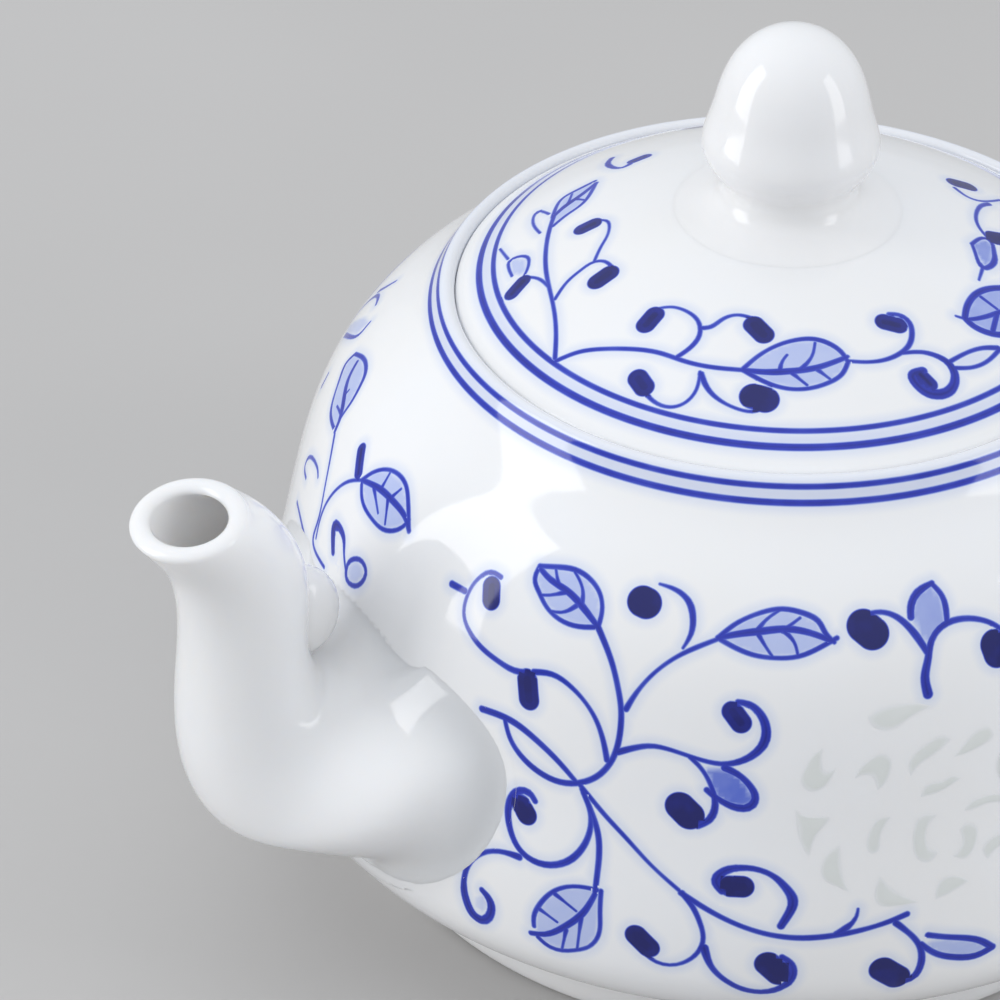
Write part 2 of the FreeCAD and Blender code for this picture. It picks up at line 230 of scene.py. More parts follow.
def reflection(angle):
    """Turns points into their reflection in the upright plane through the axis at an angle."""
    along, across = math.cos(math.radians(2 * angle)), math.sin(math.radians(2 * angle))
    return np.array([[along, across, 0], [across, -along, 0], [0, 0, 1]])


def mirrored(laid, angle):
    """Lines or outlines, each with its value, reflected in the upright plane at an angle."""
    return [(line @ reflection(angle), value) for line, value in laid]


def paint(thing, profile, laid, washes, bands):
    """Gives each face corner its place on the two nearest strokes: how far beside the brush's
    line, how far past its end, and the half width there. Washes are soft fills inside outlines,
    and bands soft fills between two heights, each with a strength."""
    mesh = thing.data
    spots = np.empty(len(mesh.vertices) * 3)
    mesh.vertices.foreach_get("co", spots)
    spots = spots.reshape(-1, 3) / MM
    vertex = np.empty(len(mesh.loops), int)
    mesh.loops.foreach_get("vertex_index", vertex)
    sizes = np.empty(len(mesh.polygons), int)
    mesh.polygons.foreach_get("loop_total", sizes)
    middle = np.empty(len(mesh.polygons) * 3)
    mesh.polygons.foreach_get("center", middle)
    middle = middle.reshape(-1, 3) / MM
    owner = np.repeat(np.arange(len(sizes)), sizes)
    corners = spots[vertex]
    reach, tail, soft = 2.4, 1.5, 0.4
    best = np.full((len(sizes), 2), reach)
    place = np.zeros((len(vertex), 2, 3))
    place[:, :, 0] = reach + 1
    for line, half in laid:
        margin = reach + half.max()
        box = (middle > line.min(0) - margin) & (middle < line.max(0) + margin)
        near = np.flatnonzero(box.all(1))
        if not len(near):
            continue
        apart = np.linalg.norm(middle[near, None] - line, axis=2) - half
        value = apart.min(1)
        first = value < best[near, 0]
        second = ~first & (value < best[near, 1])
        chosen = np.zeros(len(sizes), np.int8)
        chosen[near[first]] = 1
        chosen[near[second]] = 2
        loops = np.flatnonzero(chosen[owner])
        if not len(loops):
            continue
        along = np.gradient(line, axis=0)
        along /= np.linalg.norm(along, axis=1)[:, None]
        side = np.cross(facing(line, profile), along)
        at = corners[loops]
        step = np.linalg.norm(at[:, None] - line, axis=2).argmin(1)
        from_start = np.r_[0, np.cumsum(np.linalg.norm(np.diff(line, axis=0), axis=1))]
        past_end = np.where(from_start[-1] - from_start[step] < tail, (at - line[-1]) @ along[-1], -tail)
        past_start = np.where(from_start[step] < tail, (line[0] - at) @ along[0], -tail)
        closed = np.linalg.norm(line[0] - line[-1]) < 1e-6
        past = np.full(len(at), -tail) if closed else np.maximum(past_end, past_start)
        beside = ((at - line[step]) * side[step]).sum(1)
        put = np.c_[beside, past, half[step]]
        is_first = chosen[owner[loops]] == 1
        place[loops[is_first], 1] = place[loops[is_first], 0]
        place[loops[is_first], 0] = put[is_first]
        place[loops[~is_first], 1] = put[~is_first]
        best[near[first], 1] = best[near[first], 0]
        best[near[first], 0] = value[first]
        best[near[second], 1] = value[second]
    for number, name in enumerate(("brush_near", "brush_next")):
        held = mesh.attributes.new(name, "FLOAT_VECTOR", "CORNER")
        held.data.foreach_set("vector", place[:, number].astype(np.float32).ravel())
    tint = np.zeros(len(spots))
    for outline, strength in washes:
        tint = np.maximum(tint, strength * fill(spots, outline))
    radius = np.hypot(spots[:, 0], spots[:, 1])
    for low, high, inner, strength in bands:
        depth = np.minimum(spots[:, 2] - low, high - spots[:, 2])
        tint = np.maximum(tint, strength * np.clip(depth / soft + 0.5, 0, 1) * (radius > inner))
    held = mesh.attributes.new("wash", "FLOAT", "POINT")
    held.data.foreach_set("value", tint.astype(np.float32))


def fill(spots, outline):
    """One inside an outline and nothing outside it, soft at its edge, seen square on to it."""
    soft = 0.8
    centre = outline.mean(0)
    away = outline - centre
    flat = np.linalg.svd(away)[2]
    reach = np.linalg.norm(away, axis=1).max() + 1
    near = np.flatnonzero(np.linalg.norm(spots - centre, axis=1) < reach)
    here = (spots[near] - centre) @ flat[:2].T
    start = away @ flat[:2].T
    end = np.roll(start, -1, axis=0)
    edge = end - start
    gap = here[:, None] - start
    share = np.clip((gap * edge).sum(2) / np.maximum((edge ** 2).sum(1), 1e-9), 0, 1)
    apart = np.linalg.norm(gap - share[..., None] * edge, axis=2).min(1)
    spans = (start[:, 1] > here[:, None, 1]) != (end[:, 1] > here[:, None, 1])
    rise = np.where(edge[:, 1] == 0, 1e-9, edge[:, 1])
    crossing = here[:, None, 0] < start[:, 0] + gap[..., 1] / rise * edge[:, 0]
    inside = (spans & crossing).sum(1) % 2 == 1
    amount = np.zeros(len(spots))
    amount[near] = np.clip(0.5 + np.where(inside, apart, -apart) / soft, 0, 1)
    return amount


def node(tree, kind, inputs=None, **settings):
    """A shader node with its settings, its inputs being numbers, colours or other outputs."""
    made = tree.nodes.new("ShaderNode" + kind)
    for name, value in settings.items():
        setattr(made, name, value)
    for name, value in (inputs or {}).items():
        if isinstance(value, bpy.types.NodeSocket):
            tree.links.new(value, made.inputs[name])
        else:
            made.inputs[name].default_value = value
    return made


def figure(tree, operation, first, second=0.0, third=0.0):
    """The result of one sum on numbers or outputs."""
    inputs = {0: first, 1: second, 2: third}
    return node(tree, "Math", inputs, operation=operation).outputs[0]


def spread(tree, value, low, high, start, end):
    """A value eased from one range to another, and held at the ends."""
    inputs = {"Value": value, "From Min": low, "From Max": high, "To Min": start, "To Max": end}
    return node(tree, "MapRange", inputs, interpolation_type="SMOOTHSTEP").outputs[0]


def shades(tree, value, stops):
    """A colour read off a row of stops in rising order, each a place from 0 to 1 and a colour."""
    ramp = node(tree, "ValToRGB", {"Fac": value})
    row = ramp.color_ramp.elements
    row.remove(row[1])
    row[0].position = stops[0][0]
    row[0].color = (*stops[0][1], 1)
    for place, colour in stops[1:]:
        row.new(place).color = (*colour, 1)
    return ramp.outputs["Color"]


def glaze(name, milky=0.12, sink=0.0015):
    """A new glazed porcelain: its tree, its shader and its place, with a gloss that ripples
    slightly like orange skin and varies a little, and a milky body that light sinks into."""
    material = bpy.data.materials.new(name)
    material.use_nodes = True
    tree = material.node_tree
    shader = tree.nodes["Principled BSDF"]
    shader.inputs["IOR"].default_value = 1.52
    shader.inputs["Subsurface Weight"].default_value = milky
    shader.inputs["Subsurface Radius"].default_value = (1.0, 0.9, 0.8)
    shader.inputs["Subsurface Scale"].default_value = sink
    place = node(tree, "TexCoord").outputs["Object"]
    ripple = node(tree, "TexNoise", {"Vector": place, "Scale": 170.0, "Detail": 1.5}).outputs["Fac"]
    bump = node(tree, "Bump", {"Height": ripple, "Strength": 0.05, "Distance": 0.0004})
    tree.links.new(bump.outputs["Normal"], shader.inputs["Normal"])
    streak = node(tree, "TexNoise", {"Vector": place, "Scale": 45.0, "Detail": 4.0}).outputs["Fac"]
    tree.links.new(spread(tree, streak, 0.3, 0.7, 0.05, 0.11), shader.inputs["Roughness"])
    return material, tree, shader, place


def milk(tree, place, colour):
    """Porcelain's own colour: cloudy by a few parts in a hundred, with rare pale specks of iron."""
    cloud = node(tree, "TexNoise", {"Vector": place, "Scale": 28.0, "Detail": 3.0}).outputs["Fac"]
    warm = tuple(part * scale for part, scale in zip(colour, (0.985, 0.975, 0.955)))
    body = shades(tree, cloud, [(0.3, warm), (0.7, colour)])
    cells = node(tree, "TexVoronoi", {"Vector": place, "Scale": 75.0})
    chance = node(tree, "SeparateColor", {0: cells.outputs["Color"]}).outputs[0]
    rare = figure(tree, "GREATER_THAN", chance, 0.86)
    spot = spread(tree, cells.outputs["Distance"], 0.010, 0.022, 0.35, 0.0)
    amount = figure(tree, "MULTIPLY", spot, rare)
    mixed = node(tree, "Mix", {"Factor": amount, "B": (0.32, 0.24, 0.18, 1)}, data_type="RGBA")
    tree.links.new(body, mixed.inputs["A"])
    return mixed.outputs["Result"]


def painted_porcelain():
    """Cobalt under the glaze. The brush's edge is soft, full strokes run dark, thin ones stay
    lighter, and a faint blue haze spreads into the glaze around them."""
    material, tree, shader, place = glaze("painted_porcelain")
    edges, halves = [], []
    for name in ("brush_near", "brush_next"):
        spot = node(tree, "Attribute", attribute_name=name).outputs["Vector"]
        beside, past, half = node(tree, "SeparateXYZ", {0: spot}).outputs
        beyond = figure(tree, "MAXIMUM", past, 0.0)
        square = figure(tree, "ADD", figure(tree, "MULTIPLY", beside, beside),
                        figure(tree, "MULTIPLY", beyond, beyond))
        edges.append(figure(tree, "SUBTRACT", half, figure(tree, "SQRT", square)))
        halves.append(half)
    inside = figure(tree, "SMOOTH_MAX", edges[0], edges[1], 0.1)
    broad = figure(tree, "MAXIMUM", inside, figure(tree, "MULTIPLY", halves[0], 0.6))
    depth = spread(tree, broad, 0.1, 1.2, 0.70, 1.0)
    line = figure(tree, "MULTIPLY", spread(tree, inside, -0.2, 0.24, 0.0, 1.0), depth)
    haze = spread(tree, inside, -1.8, 0.0, 0.0, 0.10)
    wash = node(tree, "Attribute", attribute_name="wash").outputs["Fac"]
    grain = node(tree, "TexNoise", {"Vector": place, "Scale": 260.0, "Detail": 2.0}).outputs["Fac"]
    cobalt = figure(tree, "MAXIMUM", line, figure(tree, "MAXIMUM", haze, wash))
    cobalt = figure(tree, "MULTIPLY", cobalt, spread(tree, grain, 0.2, 0.8, 0.94, 1.05))
    blue = shades(tree, cobalt, [
        (0.0, (0.86, 0.87, 0.89)), (0.09, (0.74, 0.78, 0.88)), (0.3, (0.42, 0.50, 0.82)),
        (0.52, (0.10, 0.16, 0.64)), (0.72, (0.016, 0.034, 0.46)), (0.88, (0.006, 0.014, 0.26)),
        (1.0, (0.003, 0.006, 0.13))])
    body = node(tree, "Mix", {"Factor": 1.0, "A": blue}, data_type="RGBA", blend_type="MULTIPLY")
    tree.links.new(milk(tree, place, (1.0, 1.0, 1.0)), body.inputs["B"])
    tree.links.new(body.outputs["Result"], shader.inputs["Base Color"])
    return material


# Strokes as half widths in millimetres and points of the picture. The vine grows from one
# crossing beside the spout: an open bud, stems, three leaves and curls that end in berries.
VINE_STROKES = [
    ([0.55, 0.55, 0.5, 0.42], [(482, 709), (510, 720), (534, 738), (557, 760), (577, 783)]),
    ([0.4, 0.5, 0.5, 0.48, 0.48, 0.45, 0.5],
     [(505, 720), (510, 738), (523, 758), (542, 774), (560, 782), (578, 783), (596, 777), (612, 760),
      (620, 733), (621, 708), (618, 688), (612, 663), (598, 627)]),
    ([0.5, 0.42, 0.36, 0.42, 0.5],
     [(607, 760), (603, 740), (596, 720), (585, 702), (569, 685), (551, 674), (534, 672)]),
    ([0.55, 0.45, 0.45, 0.32, 0.32, 0.4],
     [(528, 673), (516, 671), (498, 661), (483, 649), (471, 634), (464, 615), (468, 594), (479, 578),
      (491, 572), (501, 577)]),
    ([0.55, 0.5], [(452, 584), (465, 591)]),
    ([0.7, 1.45, 1.3, 0.5], [(492, 581), (491, 591), (491, 599), (491, 607)]),
    ([0.8, 1.35, 1.6, 1.5], [(527, 674), (528, 684), (529, 693), (529, 700)]),
    ([0.5, 0.36, 0.32, 0.34, 0.4, 0.36],
     [(626, 709), (637, 692), (651, 676), (667, 663), (684, 653), (700, 646), (718, 639)]),
    ([0.25, 0.45, 0.52, 0.4, 0.25], [(683, 648), (691, 634), (693, 618), (689, 602), (678, 591), (660, 584)]),
    ([2.05, 2.15, 1.9], [(642, 601), (645, 603), (648, 604)]),
    ([0.55, 0.45, 0.36, 0.36, 0.42, 0.55, 0.72, 0.62, 0.45],
     [(618, 752), (634, 748), (651, 746), (671, 750), (689, 756), (709, 762), (726, 764), (744, 760),
      (757, 752), (764, 743), (766, 728), (761, 715), (750, 705), (738, 702)]),
    ([0.9, 1.5, 1.45, 0.8], [(730, 708), (735, 713), (739, 720), (744, 727)]),
    ([0.4, 0.36, 0.4, 0.5, 0.6, 0.5],
     [(690, 757), (700, 767), (709, 781), (714, 795), (715, 807), (710, 819), (698, 826)]),
    ([1.5, 2.15, 2.1, 1.4], [(677, 803), (681, 809), (687, 814), (693, 819)]),
    ([0.62, 0.5, 0.55, 0.65, 0.6, 0.5, 0.5],
     [(725, 768), (737, 774), (750, 786), (755, 799), (751, 806), (739, 808), (725, 803), (714, 796),
      (707, 790)]),
    ([0.42, 0.42, 0.38, 0.33, 0.36],
     [(580, 785), (585, 791), (604, 814), (627, 839), (650, 864), (681, 892)]),
    ([0.5, 0.45, 0.42, 0.45, 0.5, 0.5, 0.42, 0.5],
     [(681, 893), (703, 907), (727, 920), (752, 930), (777, 936), (803, 938), (830, 936), (853, 932),
      (876, 926), (893, 920), (907, 914)]),
    ([0.5, 0.6, 0.35, 0.25], [(836, 934), (850, 925), (857, 915), (858, 909)]),
    ([0.6, 0.68, 0.78, 0.6, 0.46, 0.45, 0.5, 0.62, 0.75, 0.6],
     [(781, 926), (788, 915), (793, 902), (786, 888), (773, 876), (755, 869), (738, 868), (723, 872),
      (716, 880), (722, 891)]),
    ([1.1, 1.65, 1.5, 0.9], [(726, 886), (734, 889), (741, 889), (748, 887)]),
    ([0.5, 0.45, 0.4, 0.38, 0.33, 0.36, 0.42],
     [(682, 893), (692, 906), (700, 923), (703, 940), (698, 952), (687, 961), (670, 965), (650, 958),
      (638, 944)]),
    ([0.6, 1.4, 1.65, 1.3], [(631, 930), (638, 935), (645, 941), (650, 949)]),
    ([0.7, 0.5, 0.46, 0.5, 0.52, 0.58, 0.65, 0.5],
     [(704, 948), (711, 966), (725, 980), (740, 988), (761, 992), (780, 988), (792, 977), (792, 966),
      (782, 957)]),
    ([1.3, 1.95, 1.95, 1.2], [(765, 961), (771, 967), (777, 972), (783, 977)]),
    ([0.55, 0.46, 0.5, 0.6, 0.6, 0.5],
     [(896, 923), (910, 934), (920, 947), (921, 963), (912, 978), (902, 982)]),
    ([1.3, 1.95, 1.95, 1.3], [(879, 967), (885, 971), (892, 976), (900, 979)]),
    ([0.5, 0.5, 0.55, 0.6], [(928, 935), (947, 937), (966, 938), (981, 941), (992, 947)]),
    ([0.6, 0.6, 0.55, 0.5], [(992, 947), (977, 955), (954, 957), (935, 953), (921, 944)]),
    ([0.4, 0.42, 0.5, 0.58, 0.55, 0.5, 0.5, 0.58, 0.62, 0.5],
     [(583, 793), (590, 812), (590, 830), (583, 847), (570, 860), (553, 865), (536, 862), (520, 850),
      (511, 832), (508, 812), (511, 798), (518, 791), (528, 792), (535, 801)]),
    ([1.2, 1.6, 1.5, 0.9], [(520, 802), (524, 807), (528, 812), (529, 819)]),
    ([0.6, 0.42, 0.42, 0.45, 0.5, 0.7, 0.78, 0.72, 0.7, 0.5],
     [(519, 857), (503, 852), (486, 852), (472, 860), (465, 874), (464, 889), (468, 905), (476, 917),
      (485, 920), (491, 912), (489, 899), (482, 890)]),
    ([0.45, 0.5, 0.5, 0.45], [(582, 789), (591, 811), (598, 834), (599, 856), (597, 876), (595, 892)]),
]

# Leaves as their two edges, the rib between them and the veins, all in points of the picture.
VINE_LEAVES = [
    ([(598, 627), (602, 611), (600, 594), (590, 579), (576, 570), (557, 567), (540, 566)],
     [(598, 627), (576, 626), (559, 619), (546, 606), (539, 592), (535, 580), (540, 566)],
     [(598, 627), (582, 606), (566, 590), (550, 579), (541, 569)],
     [[(582, 604), (583, 592), (579, 579), (575, 572)], [(576, 606), (564, 612), (550, 611)],
      [(566, 592), (551, 595), (540, 595)], [(559, 586), (557, 576), (556, 569)]]),
    ([(718, 638), (734, 625), (757, 614), (782, 609), (803, 613), (819, 622), (826, 634), (834, 642)],
     [(718, 638), (732, 646), (754, 655), (776, 658), (800, 656), (819, 648), (837, 638)],
     [(718, 638), (738, 634), (763, 631), (786, 629), (807, 632), (832, 641)],
     [[(757, 631), (765, 621), (780, 610)], [(783, 631), (792, 624), (800, 618)],
      [(757, 632), (764, 644), (772, 656)], [(784, 631), (794, 642), (798, 656)]]),
    ([(597, 890), (582, 887), (566, 887), (551, 893), (540, 904), (534, 916), (534, 926)],
     [(601, 891), (600, 914), (598, 936), (590, 946), (576, 950), (559, 950), (547, 945), (538, 937)],
     [(596, 892), (582, 914), (564, 927), (547, 934), (531, 933)],
     [[(555, 894), (576, 911)], [(538, 908), (557, 922)], [(581, 918), (577, 950)],
      [(566, 930), (562, 949)]]),
]
VINE_WASHES = [
    (0.50, [(704, 768), (725, 768), (738, 775), (750, 787), (755, 800), (750, 806), (738, 808),
            (724, 803), (713, 794)]),
    (0.30, [(922, 944), (935, 939), (966, 938), (982, 941), (992, 947), (977, 955), (954, 957), (935, 953)]),
    (0.20, [(484, 893), (490, 905), (484, 915), (475, 906), (476, 897)]),
]

# A sprig stands over the pierced medallion, with a washed bud and a berry on each arm.
SPRIG_STROKES = [
    ([0.75, 0.65, 0.55, 0.5, 0.5, 0.45, 0.4, 0.4],
     [(928, 694), (925, 678), (928, 659), (931, 642), (937, 631), (947, 623), (960, 619), (977, 619),
      (995, 625), (1006, 633)]),
    ([0.5, 0.6, 0.5, 0.4, 0.35], [(927, 652), (918, 638), (907, 625), (893, 615), (880, 612), (866, 614)]),
    ([1.7, 2.3, 2.2, 1.5], [(860, 623), (865, 628), (871, 632), (877, 637)]),
    ([1.9, 2.1, 1.9], [(994, 643), (997, 648), (998, 654)]),
    ([0.55, 0.58, 0.6, 0.42], [(911, 617), (911, 606), (918, 592), (932, 583)]),
    ([0.4, 0.45, 0.5, 0.45], [(932, 584), (942, 596), (946, 610), (947, 622)]),
]
SPRIG_WASHES = [
    (0.36, [(911, 617), (912, 604), (919, 592), (932, 584), (942, 597), (946, 610), (946, 623),
            (936, 633), (929, 648), (921, 638)]),
]

# Behind the spout the far side's vine shows: a leaf on a stem, hooks and a small bud.
SIDE_STROKES = [
    ([0.3, 0.32, 0.34], [(316, 538), (324, 508), (337, 489), (350, 481), (362, 480)]),
    ([0.36, 0.36, 0.3, 0.3, 0.34], [(324, 567), (313, 540), (317, 524), (324, 492), (330, 460), (335, 432)]),
    ([0.34, 0.4], [(297, 502), (307, 548)]),
    ([0.6, 0.75, 0.6, 0.32, 0.32], [(333, 552), (333, 538), (336, 524), (341, 530), (344, 552), (346, 572)]),
    ([0.42, 0.42, 0.42, 0.42],
     [(346, 572), (350, 561), (358, 559), (365, 567), (364, 579), (355, 586), (347, 580), (346, 572)]),
    ([0.5, 1.0, 0.8, 0.5, 0.36, 0.3],
     [(362, 446), (366, 436), (371, 428), (376, 424), (378, 433), (372, 455), (358, 478)]),
    ([0.34, 0.36, 0.3], [(306, 478), (305, 466), (310, 457), (316, 464), (318, 477)]),
    ([0.5, 0.3], [(379, 291), (396, 281)]),
    ([0.5, 0.4, 0.36, 0.3], [(345, 335), (354, 337), (365, 328), (370, 322)]),
    ([0.5, 0.4], [(322, 386), (328, 374)]),
]
SIDE_LEAVES = [
    ([(362, 480), (374, 472), (390, 470), (404, 481), (408, 500), (409, 531)],
     [(362, 480), (363, 503), (372, 519), (385, 530), (401, 528), (409, 520)],
     [(362, 480), (380, 489), (393, 501), (405, 517), (409, 531)],
     [[(381, 489), (390, 473)], [(392, 497), (401, 489)], [(374, 488), (378, 513)],
      [(388, 499), (385, 524)]]),
    ([(335, 431), (339, 421), (350, 404), (361, 384), (366, 368), (363, 358), (355, 354)],
     [(335, 431), (331, 418), (333, 400), (340, 378), (347, 362), (355, 354)],
     [(335, 431), (340, 418), (344, 398), (348, 380), (357, 362)],
     [[(341, 414), (337, 406)], [(344, 396), (349, 390)]]),
]
SIDE_WASHES = [
    (0.24, [(347, 572), (351, 562), (358, 560), (364, 567), (363, 578), (355, 585), (348, 580)]),
    (0.22, [(345, 335), (350, 325), (365, 317), (370, 322), (356, 335)]),
]


def leafage(leaves):
    """The strokes of leaves and the washes inside them."""
    strokes, washes = [], []
    for near_edge, far_edge, rib, veins in leaves:
        strokes.append(([0.42, 0.36, 0.4, 0.45, 0.4], near_edge))
        strokes.append(([0.42, 0.4, 0.36, 0.4, 0.4], far_edge))
        strokes.append(([0.45, 0.6, 0.55, 0.45], rib))
        strokes += [([0.45, 0.3, 0.28], vein) for vein in veins]
        washes.append((0.27, near_edge + far_edge[::-1]))
    return strokes, washes


def growth(strokes, leaves, washes, profile):
    """A painted group laid on a turned profile: its strokes with those of its leaves as lines, and
    its washes with those inside the leaves as outlines with their strengths."""
    leaf_strokes, leaf_washes = leafage(leaves)
    lines = brushed(strokes + leaf_strokes, profile)
    return lines, [(cast(pixels, profile), strength) for strength, pixels in washes + leaf_washes]


def hoop(radius, height, half):
    """A painted ring round the axis, as a closed line with an even half width."""
    angle = np.linspace(0, 2 * np.pi, 721)
    line = np.c_[radius * np.cos(angle), radius * np.sin(angle), np.full(len(angle), height)]
    return line, np.full(len(angle), half)


under = spline([(foot_top_radius, foot_height), under_turn, belly], 15, (8, 1.2), (0, 1))
dome = spline(dome_points, 108, (0, 1), (-6.5, 9))
rim = spline(rim_points, 13, (-6.5, 9), (0, -1))
inner = inward(spline(dome_points, 30, (0, 1), (-6.5, 9)), wall)
inner = inner[inner[:, 1] < mouth_under - 3][::-1]
floor_turn = spline([inner[-1], (68.5, 15.6), (foot_top_radius, floor_height)], 7, (0, -1), (-1, -0.05))
skin = np.concatenate([under[:-1], dome, rim[1:6]])
profile = np.concatenate([
    np.c_[np.linspace(0, foot_top_radius, 6)[:-1], np.full(5, foot_height)], skin, rim[6:],
    [(rim_inner, seat_height + 0.5), (rim_inner - 0.15, seat_height + 0.15)],
    [(rim_inner - 0.5, seat_height), (mouth_radius + 0.7, seat_height)],
    [(mouth_radius + 0.2, seat_height - 0.2), (mouth_radius, seat_height - 0.7)],
    [(mouth_radius, mouth_under + 0.8), (mouth_radius + 0.8, mouth_under)], inner, floor_turn[1:],
    np.c_[np.linspace(foot_top_radius, 0, 6)[1:], np.full(5, floor_height)]])
pot = clay("pot_body_painted", [turned(profile, body_columns)], painted_porcelain())
strainer_hole, strainer_pitch, strainer_height, strainer_count = 4.6, 7.6, 40.6, 6
drill_start, drill_end = -80, -45
drill = turned([(0, drill_start), (strainer_hole / 2, drill_start), (strainer_hole / 2, drill_end),
                (0, drill_end)], 24)
drill = drill[..., [2, 0, 1]] + [0, 0, strainer_height]
turns = 2 * np.pi * np.arange(strainer_count) / strainer_count
drills = [drill]
drills += [drill + [0, strainer_pitch * math.cos(turn), strainer_pitch * math.sin(turn)] for turn in turns]
pierce(pot, clay("drills", drills, pot.data.materials[0]))

vine_fold = 267.0
far_vine_end = 138
vine, vine_wash = growth(VINE_STROKES, VINE_LEAVES, VINE_WASHES, skin)
sprig, sprig_wash = growth(SPRIG_STROKES, [], SPRIG_WASHES, skin)
side, side_wash = growth(SIDE_STROKES, SIDE_LEAVES, SIDE_WASHES, skin)
front = vine + mirrored(vine, vine_fold) + sprig
front_wash = vine_wash + mirrored(vine_wash, vine_fold) + sprig_wash


def between(laid, first, last):
    """The lines or outlines that lie wholly between two angles round the axis, in degrees."""
    kept = []
    for line, value in laid:
        angle = np.degrees(np.arctan2(line[:, 1], line[:, 0])) % 360
        if first <= angle.min() and angle.max() <= last:
            kept.append((line, value))
    return kept


strokes = front + between(mirrored(front, 0), 0, far_vine_end) + side
strokes += [hoop(48.84, 87.55, 0.45), hoop(50.0, 85.7, 0.5)]
washes = front_wash + between(mirrored(front_wash, 0), 0, far_vine_end) + side_wash
paint(pot, skin, strokes, washes, [(85.7, 87.5, 48.0, 0.14)])
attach(pot, "pot")
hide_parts("pot_body")


# The foot is a ring of porcelain turned on the wheel and luted under the body with slip. It is
# glazed with the pot, and runs out into the body in a small hollow.
foot_inner = 53.7


def white_porcelain(name, milky=0.12, sink=0.0015):
    """Plain porcelain under the same glaze, of a faintly cool white all over."""
    material, tree, shader, place = glaze(name, milky, sink)
    tree.links.new(milk(tree, place, (0.87, 0.875, 0.89)), shader.inputs["Base Color"])
    return material


plain_glaze = white_porcelain("white_porcelain")
foot_profile = np.concatenate([
    spline([(foot_inner + 1.2, 0), (foot_inner + 0.3, 0.5), (foot_inner, 1.6)], 6),
    [(foot_inner, 5), (foot_inner, foot_height + 0.4), (58.0, foot_height + 0.4)],
    spline([(63.6, 10.75), (61.0, 9.6), (59.7, 7.0), (59.0, 2.0)], 14),
    spline([(58.85, 1.4), (58.4, 0.4), (57.4, 0)], 6)])
foot = clay("foot_ring_turned", [turned(foot_profile, 240)], plain_glaze, ring=True)
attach(foot, "pot")
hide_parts("foot_ring")


# The spout is cast hollow and luted on with slip: a full bulb at the wall, a narrow neck that
# bends upright, and a thick rounded lip that leans out. The join is smoothed into a soft hollow.
spout_sections = [
    (58.0, 41.3, 100, 21.4, 31.0, 0.2), (65.6, 41.1, 95.4, 21.0, 29.9, 0.2),
    (70.2, 40.1, 83.3, 18.5, 28.2, 0.2), (76.6, 40.4, 60.2, 16.7, 24.7, 0.18),
    (83.8, 40.9, 52.8, 14.3, 16.3, 0.03), (86.7, 56.7, 11.9, 9.0, 10.1, 0), (86.9, 67.9, 10, 9.2, 8.7, 0),
    (90.4, 75.3, 20, 8.2, 8.5, 0), (94.2, 79.6, 11, 8.1, 8.9, 0)]
spout_wall = 2.2
lip_wall = 2.9
lip_rise = 1.0
bend_tuck = (0.8, 1.4, 0, 1.6, 1.6, 0)
spout_root = 5.5
bore_end = 2.6
root_sink = 0.8
spout_columns = 128


def ovals(sections, columns):
    """Ovals across a path in the XZ plane: each has its place out and up, the lean of its axis
    from upright in degrees, its half depth in that plane, its half width across it, and how far
    its inner side is pressed in."""
    out, up, lean, deep, wide, dent = np.asarray(sections, float).T[..., None]
    angle = np.linspace(0, 2 * np.pi, columns, endpoint=False)
    tilt = np.radians(lean)
    across = deep * (np.cos(angle) + dent * np.minimum(np.cos(angle), 0) ** 2)
    return np.stack([out + across * np.cos(tilt), wide * np.sin(angle), up - across * np.sin(tilt)], -1)


def nearest_skin(points):
    """For points near the body: the distance to its skin, the closest spot there and the way out."""
    fine = np.concatenate([under, dome])
    along = np.gradient(fine, axis=0)
    along /= np.linalg.norm(along, axis=1)[:, None]
    flat = np.stack([np.hypot(points[..., 0], points[..., 1]), points[..., 2]], -1)
    gap = flat[..., None, :] - fine
    close = (gap ** 2).sum(-1).argmin(-1)
    out = np.stack([along[close, 1], -along[close, 0]], -1)
    height = (np.take_along_axis(gap, close[..., None, None], -2)[..., 0, :] * out).sum(-1)
    ray = points[..., :2] / flat[..., :1]
    way = np.concatenate([out[..., :1] * ray, out[..., 1:]], -1)
    return height, points - height[..., None] * way, way


def fillet(tube, reach, landing, rows):
    """A soft root for a tube whose rows run down into the body. Each line leaves the tube at a
    height above the skin and lands on the skin beside it, tangent to both."""
    height = nearest_skin(tube)[0]
    columns = np.arange(tube.shape[1])

    def at(level):
        """Where each line crosses a height above the skin, and the first row below it."""
        below = np.maximum((height < level).argmax(0), 1)
        high, low = height[below - 1, columns], height[below, columns]
        share = ((high - level) / (high - low))[:, None]
        return tube[below - 1, columns] * (1 - share) + tube[below, columns] * share, below

    leave, row = at(reach)
    run = tube[row, columns] - tube[row - 1, columns]
    run /= np.linalg.norm(run, axis=1)[:, None]
    cross = at(0.0)[0]
    way = nearest_skin(cross)[2]
    away = cross - cross.mean(0)
    away -= (away * way).sum(1)[:, None] * way
    away /= np.linalg.norm(away, axis=1)[:, None]
    land = nearest_skin(cross + landing * away)[1]
    length = 1.1 * np.linalg.norm(land - leave, axis=1)[:, None]
    x = np.linspace(0, 1, rows)[:, None, None]
    curve = (1 - x) ** 2 * ((1 + 2 * x) * leave + x * length * run)
    curve = curve + x ** 2 * ((3 - 2 * x) * land + (x - 1) * length * away)
    return curve, row, nearest_skin(land)[2]


def open_rows(tube, first_inside, rows):
    """The rows of a tube from its open end down to where each line's fillet begins, spaced evenly
    along each line."""
    share = np.linspace(0, 1, rows)[:, None]
    where = share * (first_inside - 1)
    low = np.floor(where).astype(int)
    part = (where - low)[..., None]
    columns = np.arange(tube.shape[1])
    return tube[low, columns] * (1 - part) + tube[np.minimum(low + 1, len(tube) - 1), columns] * part


